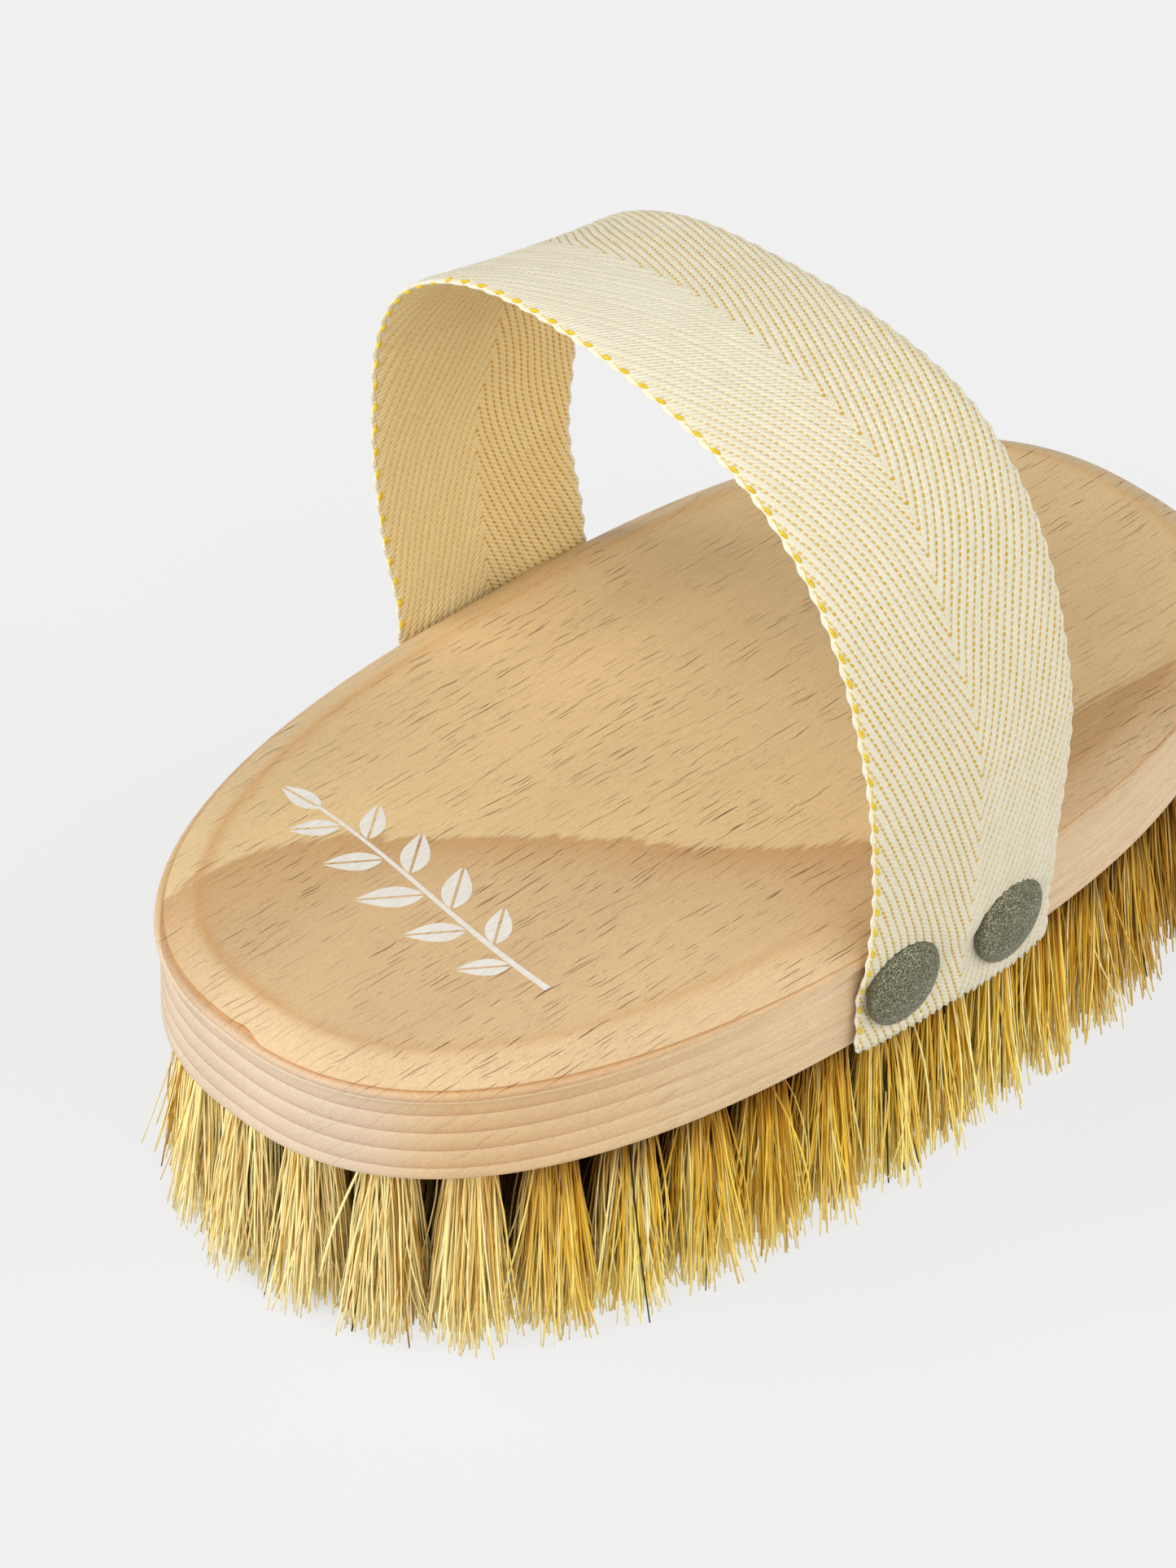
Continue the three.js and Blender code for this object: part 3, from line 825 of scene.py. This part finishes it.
def make_tuft(name, material, roots, leans, tip_radius, count, seed):
    """Flared fibres for one or more tufts. A lean is how far the tuft's tips sweep, in x and y."""
    random = np.random.default_rng(seed)
    grown = [grow_fibres(random, root, lean, tip_radius, count) for root, lean in zip(roots, leans)]
    paths, tones, radii = (np.concatenate(parts) for parts in zip(*grown))
    turn = random.uniform(0, TAU, len(paths))
    across = np.stack([np.cos(turn), np.sin(turn), np.zeros_like(turn)], -1)[:, None]
    radii = radii[:, None] * np.linspace(1.0, 0.65, FIBRE_STEPS)[None]
    points, faces = tubes(paths, radii, across, FIBRE_SIDES)
    points[:, 2] = np.maximum(points[:, 2], 0.0)
    x = points[:, 0]
    along = np.clip((UNDERSIDE_Z - points[:, 2]) / UNDERSIDE_Z, 0, 1)
    # Painted shade: darker deep inside the outline, towards the roots and towards the right end; painted
    # light pales the left end and lifts its shade.
    inner = stepped((depth_inside(points) - 4.0) / 7)
    painted_shade = (1 - 0.9 * inner * (1 - 0.85 * along**4)) * (1 - 0.76 * (1 - stepped(along / 0.5)))
    painted_shade = painted_shade * (1 - 0.5 * stepped((x - PAINTED_SHADE_X) / PAINTED_SHADE_REACH))
    painted_light = stepped((PAINTED_LIGHT_X - x) / PAINTED_LIGHT_REACH)
    attributes = {
        "tone": np.repeat(tones, FIBRE_STEPS * FIBRE_SIDES),
        "along": along,
        "painted_shade": painted_shade + (1 - painted_shade) * painted_light,
        "painted_light": painted_light,
    }
    return make_piece(name, points, faces, material, attributes)


def sweep_of(normal):
    """How far and which way a tuft of the outer ring leans, from the outward normal at its root."""
    facing = math.degrees(math.atan2(normal[1], normal[0])) % 360
    return normal * np.interp(facing, SWEEP_FACINGS, SWEEPS)


def make_anchors(material, roots):
    """The staple that holds each folded tuft at the bottom of its hole."""
    turn = np.linspace(0, math.pi, 9)
    shape = np.column_stack([1.5 * np.cos(turn), np.zeros(9), 0.9 * np.sin(turn) - 0.2])
    shape = np.vstack([[1.5, 0, -1.6], shape, [-1.5, 0, -1.6]])
    centre = np.column_stack([roots, np.full(len(roots), UNDERSIDE_Z + HOLE_DEPTH - 1.1)])
    paths = centre[:, None] + shape[None]
    points, faces = tubes(paths, np.full(paths.shape[:2], 0.22), Y_AXIS, 6)
    return make_piece("tuft_anchors", points, faces, material, {"rim": np.zeros(len(points))})


# ---------------- strap

def strap_line():
    """The route as a smooth line: distance along it, its points (y, z) and its tangents."""
    knots = np.array(STRAP_ROUTE, float)
    knots = np.vstack([knots[:1], knots, knots[-1:]])
    share = np.linspace(0, 1, 40, endpoint=False)[:, None]
    line = []
    for a, b, c, d in zip(knots, knots[1:], knots[2:], knots[3:]):
        second = share**2 * (2 * a - 5 * b + 4 * c - d) / 2
        third = share**3 * (3 * b - a - 3 * c + d) / 2
        line.append(b + share * (c - a) / 2 + second + third)
    line = np.vstack(line + [knots[-1:]])
    run = run_along(line)
    return run, line, unit(np.gradient(line, run, axis=0))


RUN, LINE, TANGENT = strap_line()
STRAP_LENGTH = RUN[-1]


def nail_places():
    """Each nail's name, its x in the strap's own frame, and its side: -1 near, 1 far."""
    half = NAIL_SPACING / 2
    return [
        ("nail_near_left", NEAR_NAILS_X - half, -1),
        ("nail_near_right", NEAR_NAILS_X + half, -1),
        ("nail_far_left", FAR_NAILS_X - half, 1),
        ("nail_far_right", FAR_NAILS_X + half, 1),
    ]


def to_block(points):
    """From the strap's own frame to the brush's."""
    turn = math.radians(STRAP_SKEW)
    x = points[..., 0] * math.cos(turn) - points[..., 1] * math.sin(turn) + STRAP_X
    y = points[..., 0] * math.sin(turn) + points[..., 1] * math.cos(turn)
    return np.stack([x, y, points[..., 2]], -1)


def on_strap(across, along, out):
    """A point of the strap: across from its middle, along from its near cut end, out from its mid layer."""
    y, z = (np.interp(along, RUN, LINE[:, k]) for k in (0, 1))
    ty, tz = (np.interp(along, RUN, TANGENT[:, k]) for k in (0, 1))
    lift = np.sin(math.pi * np.clip(along / STRAP_LENGTH, 0, 1)) ** 2
    side = across / (STRAP_WIDTH / 2)
    left, right = np.clip(-side, 0, 1), np.clip(side, 0, 1)
    nail_along = NAIL_Z - UNDERSIDE_Z - 0.1
    for _, x, at in nail_places():
        centre = nail_along if at < 0 else STRAP_LENGTH - nail_along
        out = out + humps(np.hypot(across - x, along - centre), NAIL_DIMPLE)
    saddle = humps(along, [(SADDLE_HEIGHT, SADDLE_SHARE * STRAP_LENGTH, SADDLE_WIDTH, 2)])
    out = out + (0.5 + 0.6 * np.sqrt(np.clip(lift, 0, 1)) - saddle) * (1 - side**2)
    pinch = humps(along, LEFT_PINCH) * left - humps(along, RIGHT_PINCH) * right
    waist = np.where(side > 0, humps(along, RIGHT_WAIST), humps(along, LEFT_WAIST))
    twist = 0.9 + 0.8 * np.tanh((along - 0.5 * STRAP_LENGTH) / 20)
    trimmed = stepped((side - 0.5) / 0.5) * np.clip(1 - along / 8, 0, 1)
    return to_block(np.stack([
        across + pinch - waist * side,
        y - tz * out - 1.2 * side * lift,
        z + ty * out - twist * side * lift + trimmed,
    ], -1))


def arch_left(across, along):
    """The left half of the webbing over the arch, where the weave is stretched flat."""
    return (across < 0) * humps(along, FLAT_ARCH)


def gold_strength(across, along, inside):
    """How much of the gold picks shows: least over the arch's left half, low on the right, and inside on
    the left."""
    low_right = (across > 0) * (1 - stepped((along - 14) / 24))
    outside = (1 - 0.88 * arch_left(across, along)) * (1 - 0.6 * low_right)
    return np.where(inside, np.where(across < 0, 0.45, 1.0), outside)


def round_loop(outer, inner):
    """Columns that go across the outer face and back across the inner face."""
    return np.concatenate([outer, inner[:, ::-1]], 1)


def make_strap(material):
    """The webbing: ribs as rows of the mesh, slanting up from the middle to both edges, on both faces."""
    half = STRAP_WIDTH / 2
    step = RIB_ACROSS / 2
    side = np.append(np.arange(0, half - 0.5, step), [half - 0.42, half - 0.2, half - 0.06, half])
    columns = np.concatenate([-side[:0:-1], side])
    slope = np.abs(columns) / RIB_ACROSS
    first = -math.ceil(slope.max()) - 1
    last = math.ceil(STRAP_LENGTH / RIB_ALONG) + 1
    ribs = np.arange(first * ROWS_PER_RIB, last * ROWS_PER_RIB + 1) / ROWS_PER_RIB
    along = np.clip((ribs[:, None] + slope[None]) * RIB_ALONG, 0, STRAP_LENGTH)
    across = np.broadcast_to(columns, along.shape)

    phase = (along / RIB_ALONG - slope) % 1
    rib = np.sqrt(np.clip(1 - (2 * phase - 1) ** 2, 0, 1))
    edge = np.clip((np.abs(across) - (half - 0.65)) / 0.65, 0, 1)
    thin = 1 - 0.4 * stepped((np.abs(across) - (half - 1.9)) / 1.5)
    body = np.sqrt(np.clip(1 - edge**2.2, 0, 1)) * thin
    spine = np.exp(-((across / 0.5) ** 2))
    relief = RIB_RELIEF * (1 - 0.6 * arch_left(across, along))
    thick = (STRAP_THICKNESS / 2 - relief * (1 - rib) * (1 - 0.5 * spine)) * body
    scallop = -edge * 0.17 * np.cos(TAU * along / RIB_ALONG)
    loose = 0.05 * np.sin(along * 2.1 + across * 0.9) * np.sin(across * 3.3)
    ends = np.where(along <= 0, -0.35 * rib, 0) + np.where(along >= STRAP_LENGTH, 0.35 * rib, 0)
    wide = across + scallop * np.sign(across) + humps(along, SPINE_DRIFT) * (1 - (across / half) ** 2)
    outer = on_strap(wide, along, thick + loose * body)
    inner = on_strap(wide, along, -thick + loose * body)
    outer[..., 2] += ends
    inner[..., 2] += ends * np.sign(STRAP_LENGTH / 2 - along)
    outer[..., 2] -= np.where(along >= STRAP_LENGTH, 2 * ends, 0)

    rows, count = along.shape
    points = round_loop(outer, inner).reshape(-1, 3)
    loop = 2 * count
    across, along, edge = (round_loop(values, values) for values in (across, along, edge))
    inside = np.repeat([False, True], count)

    # Rows past a cut end lie on it: each column keeps one point there.
    low = np.maximum((along <= 0).sum(0) - 1, 0)
    high = rows - np.maximum((along >= STRAP_LENGTH).sum(0), 1)
    row = np.clip(np.arange(rows)[:, None], low[None], high[None])
    index = row * loop + np.arange(loop)[None]
    beside = np.roll(index, -1, 1)
    quads = np.stack([index[:-1], beside[:-1], beside[1:], index[1:]], -1).reshape(-1, 4)
    left_flat = quads[:, 0] == quads[:, 3]
    right_flat = quads[:, 1] == quads[:, 2]
    faces = [
        quads[~left_flat & ~right_flat],
        quads[left_flat & ~right_flat][:, [0, 1, 2]],
        quads[~left_flat & right_flat][:, [0, 1, 3]],
    ]
    for edge_rows, turn in ((low, 1), (high, -1)):
        ring = edge_rows * loop + np.arange(loop)
        front, back = ring[:count], ring[count:][::-1]
        faces.append(np.stack([front[:-1], back[:-1], back[1:], front[1:]], -1)[:, ::turn])
    used, faces = compact(faces)
    attributes = {
        "weave_across": across.ravel()[used],
        "weave_along": along.ravel()[used],
        "selvedge": edge.ravel()[used],
        "inside": np.tile(inside, rows)[used],
        "show": gold_strength(across, along, inside).ravel()[used],
    }
    return make_piece("webbing_strap", points[used], faces, material, attributes)


def compact(faces):
    """Drops the points that no face uses; the indexes kept, and the faces over them."""
    used = np.unique(np.concatenate([group.ravel() for group in faces]))
    place = np.full(used.max() + 1, -1)
    place[used] = np.arange(len(used))
    return used, [place[group] for group in faces]


def make_edge_stitches(material):
    """Gold yarn along the left selvedge, thick where it shows at every rib. It lies on the outer face and
    crosses to the inner face at the far bend."""
    along = np.arange(0.5, STRAP_LENGTH - 0.5, RIB_ALONG / 14)
    turn = TAU * along / RIB_ALONG
    show = stepped(1.05 * np.cos(turn) - 0.02)
    across = -STRAP_WIDTH / 2 + 0.36 - 0.12 * np.sin(turn)
    face = np.tanh((0.64 * STRAP_LENGTH - along) / 2.5)
    paths = on_strap(across, along, face * (0.24 + 0.05 * show))[None]
    points, faces = tubes(paths, (0.06 + 0.19 * show)[None], X_AXIS, 8)
    return make_piece("strap_edge_stitches", points, faces, material)


def make_frayed_ends(material, seed):
    """Short loose yarn ends along both cut ends."""
    random = np.random.default_rng(seed)
    count, steps = 150, 6
    across = np.tile(np.linspace(-STRAP_WIDTH / 2 + 0.3, STRAP_WIDTH / 2 - 0.3, count // 2), 2)
    across = across + random.normal(0, 0.12, count)
    out = random.uniform(-0.42, 0.42, count)
    reach = random.uniform(0.25, 0.75, count)
    lean = random.normal(0, 0.35, count)
    share = np.linspace(0, 1, steps)
    far = np.arange(count) >= count // 2
    base = on_strap(across, np.where(far, STRAP_LENGTH - 0.8, 0.8), out)
    curl = random.normal(0, 0.25, (count, 1)) * share[None] ** 2
    paths = np.repeat(base[:, None], steps, 1)
    paths[..., 0] += lean[:, None] * share[None] + curl
    paths[..., 1] += random.normal(0, 0.15, (count, 1)) * share[None] ** 2
    paths[..., 2] -= (0.8 + reach)[:, None] * share[None]
    radii = random.uniform(0.06, 0.13, count)[:, None] * np.linspace(1, 0.7, steps)[None]
    points, faces = tubes(paths, radii, X_AXIS, 6)
    return make_piece("strap_frayed_ends", points, faces, material)


# ---------------- nails and print

def make_nail(name, x, side, material):
    """A domed head with a rolled rim, and its shank, as one turned profile of radius and height."""
    head, shank = NAIL_HEAD_RADIUS, NAIL_SHANK_RADIUS
    profile = [
        (shank * 0.5, -NAIL_SHANK_LENGTH + NAIL_POINT_LENGTH * 0.5),
        (shank, -NAIL_SHANK_LENGTH + NAIL_POINT_LENGTH),
        (shank, 0.3),
        (head * 0.6, 0.55),
        (head - 0.75, 0.3),
        (head - 0.5, 0.02),
        (head - 0.2, -0.02),
        (head - 0.03, 0.12),
        (head, 0.32),
        (head - 0.02, 0.55),
    ]
    for turn in np.linspace(0.1, math.pi / 2, 26)[:-1]:
        profile.append((head * math.cos(turn), 0.62 + (NAIL_HEAD_HEIGHT - 0.62) * math.sin(turn)))
    radius, height = (column[:, None] for column in np.array(profile).T)
    sides = 72
    angle = np.arange(sides) / sides * TAU
    dent = 0.02 * np.sin(angle * 3 + x)[None] * (radius / head)
    depth = height + dent * (height > 0)
    local = np.stack([radius * np.cos(angle), radius * np.sin(angle), depth], -1).reshape(-1, 3)
    local = np.vstack([local, [0, 0, -NAIL_SHANK_LENGTH], [0, 0, NAIL_HEAD_HEIGHT]])
    # Painted shade on the metal's colour, strongest at the head's edge.
    rim = np.concatenate([np.repeat(np.exp(-(((radius - head) / 0.25) ** 2)), sides), [0, 0]])
    k = np.arange(sides)
    following = np.roll(k, -1)
    top = (len(profile) - 1) * sides
    faces = [
        grid_faces(len(profile), sides),
        np.stack([following, k, np.full(sides, len(local) - 2)], -1),
        np.stack([top + k, top + following, np.full(sides, len(local) - 1)], -1),
    ]
    tilt = math.radians(NAIL_TILTS.get(name, 0))
    flat = local[:, 0] * math.cos(tilt) + local[:, 2] * math.sin(tilt)
    depth = local[:, 2] * math.cos(tilt) - local[:, 0] * math.sin(tilt)
    placed = np.stack([x + flat, side * (NAIL_SEAT_Y + depth), NAIL_Z - side * local[:, 1]], -1)
    return make_piece(name, to_block(placed), faces, material, {"rim": rim})


def leaf_halves(base, angle, length, width):
    """The outlines of a leaf's two halves, with a gap between them for its vein."""
    share = np.linspace(0, 1, 17)
    bulge = width / 2 * np.sin(math.pi * share**0.8)
    way = np.array([math.cos(angle), math.sin(angle)])
    off = np.array([-way[1], way[0]])
    middle = np.asarray(base) + way * (share * length)[:, None]
    halves = []
    for turn in (1, -1):
        gap = LEAF_GAP * turn
        outer = middle + off * (bulge * turn + gap)[:, None]
        inner = middle + off * gap
        halves.append(np.vstack([outer, inner[1:-1][::-1]])[::-turn])
    return halves


def make_leaf_print(material):
    """A plain leaf sprig printed across the left end of the top, in place of the real one's lettering."""
    steps = np.linspace(-1, 1, 40)
    stem_x = SPRIG_X + 1.3 * np.sin(steps * 1.6)
    stem_y = steps * SPRIG_REACH * 0.86
    half = 0.28 - 0.1 * steps
    outlines = [np.vstack([
        np.column_stack([stem_x + half, stem_y]),
        np.column_stack([stem_x - half, stem_y])[::-1],
    ])]
    for number, share in enumerate(np.linspace(-0.72, 0.78, 9)):
        side = 1 if number % 2 else -1
        x, y = np.interp(share, steps, stem_x), np.interp(share, steps, stem_y)
        length = 7.2 - 2.4 * abs(share)
        outlines += leaf_halves((x + side * 0.5, y), math.pi / 2 - side * 0.95, length, length * 0.42)
    end = np.interp(0.97, steps, stem_x), np.interp(0.97, steps, stem_y)
    outlines += leaf_halves(end, math.pi / 2 + 0.1, 5.4, 2.3)

    points, groups = [], {}
    base = 0
    for outline in outlines:
        count = len(outline)
        for z in (TOP_Z - 0.05, TOP_Z + 0.03):
            points.append(np.column_stack([outline, np.full(count, z)]))
        low = base + np.arange(count)
        high = low + count
        wall = np.stack([low, np.roll(low, -1), np.roll(high, -1), high], -1)
        groups.setdefault(4, []).append(wall)
        groups.setdefault(count, []).append(np.stack([low[::-1], high]))
        base += 2 * count
    faces = [np.concatenate(group) for group in groups.values()]
    return make_piece("leaf_print", np.vstack(points), faces, material, sharp=40)


# ---------------- studio

def make_camera():
    """A camera at the photograph's angle."""
    a, e, r = (math.radians(v) for v in (CAMERA_AZIMUTH, CAMERA_ELEVATION, CAMERA_ROLL))
    back = Vector((math.sin(a) * math.cos(e), -math.cos(a) * math.cos(e), math.sin(e)))
    level = Vector((math.cos(a), math.sin(a), 0))
    upright = back.cross(level)
    right = level * math.cos(r) + upright * math.sin(r)
    up = upright * math.cos(r) - level * math.sin(r)
    data = bpy.data.cameras.new("camera")
    data.lens = CAMERA_LENS
    data.sensor_width = 36
    camera = add_object("camera", data)
    camera.matrix_world = Matrix((right, up, back)).transposed().to_4x4()
    camera.location = CAMERA_TARGET + back * CAMERA_DISTANCE
    bpy.context.scene.camera = camera


def make_sun(name, place, power):
    """A distant soft light that shines from a place towards the brush."""
    data = bpy.data.lights.new(name, "SUN")
    data.angle = math.radians(SUN_SIZE)
    data.energy = power
    light = add_object(name, data)
    light.location = place
    light.rotation_mode = "QUATERNION"
    light.rotation_quaternion = (-Vector(place)).to_track_quat("-Z", "Y")


def make_studio():
    """Five soft suns, a faint sky that pales towards the horizon, and the floor."""
    world = bpy.data.worlds.new("studio")
    world.use_nodes = True
    sky = Nodes(world.node_tree)
    background = sky.tree.nodes["Background"]
    background.inputs["Color"].default_value = WORLD_COLOUR
    height = sky.split(sky.node("TexCoord").outputs["Generated"])[2]
    sky.put(background.inputs["Strength"], sky.span(height, 0.1, 0.3, HORIZON_LIGHT, WORLD_LIGHT))
    bpy.context.scene.world = world
    for name, (place, power) in SUNS.items():
        make_sun(name, place, power)
    corners = np.array([[-1, -1, 0], [1, -1, 0], [1, 1, 0], [-1, 1, 0]]) * FLOOR_HALF + [0, 0, FLOOR_Z]
    floor = make_piece("floor", corners, [np.array([[0, 1, 2, 3]])], make_floor())
    scene = bpy.context.scene
    scene.view_settings.view_transform = "Standard"
    scene.view_settings.look = "None"


# ---------------- assembly

make_camera()
make_studio()

beech = make_beech()
webbing = make_webbing()
gold_yarn = make_yarn("gold_yarn", srgb(216, 188, 42), srgb(194, 158, 20))
cream_yarn = make_yarn("cream_yarn", srgb(248, 242, 226), srgb(236, 226, 202))
nail_metal = make_nail_metal()
bristle = make_bristle()

outer_roots, outer_normals = ring_roots()
rows = row_roots()
all_roots = np.vstack([outer_roots] + [np.array(row) for row in rows])

block = make_block(beech, all_roots)
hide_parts("wooden_block")
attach(block, "root")

leaf_print = make_leaf_print(make_ink())
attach(leaf_print, "root")

strap = make_strap(webbing)
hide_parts("hand_strap")
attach(strap, "root")

stitches = make_edge_stitches(gold_yarn)
frayed = make_frayed_ends(cream_yarn, 5)
for piece in (stitches, frayed):
    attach(piece, "root")

for name, x, side in nail_places():
    nail = make_nail("domed_" + name, x, side, nail_metal)
    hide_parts(name)
    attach(nail, "root")

anchors = make_anchors(nail_metal, all_roots)
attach(anchors, "root")

for number, (root, normal) in enumerate(zip(outer_roots, outer_normals), 1):
    name = f"outer_bristles_{number:02d}"
    tuft = make_tuft(name, bristle, [root], [sweep_of(normal)], RING_TIP_RADIUS, RING_FIBRES, number)
    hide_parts(f"outer_tuft_{number:02d}")
    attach(tuft, "root")

for number, row in enumerate(rows, 1):
    name = f"inner_bristles_{number:02d}"
    upright = [(0.0, 0.0)] * len(row)
    tuft = make_tuft(name, bristle, row, upright, ROW_TIP_RADIUS, ROW_FIBRES, 100 + number)
    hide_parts(f"inner_tuft_row_{number:02d}")
    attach(tuft, "root")
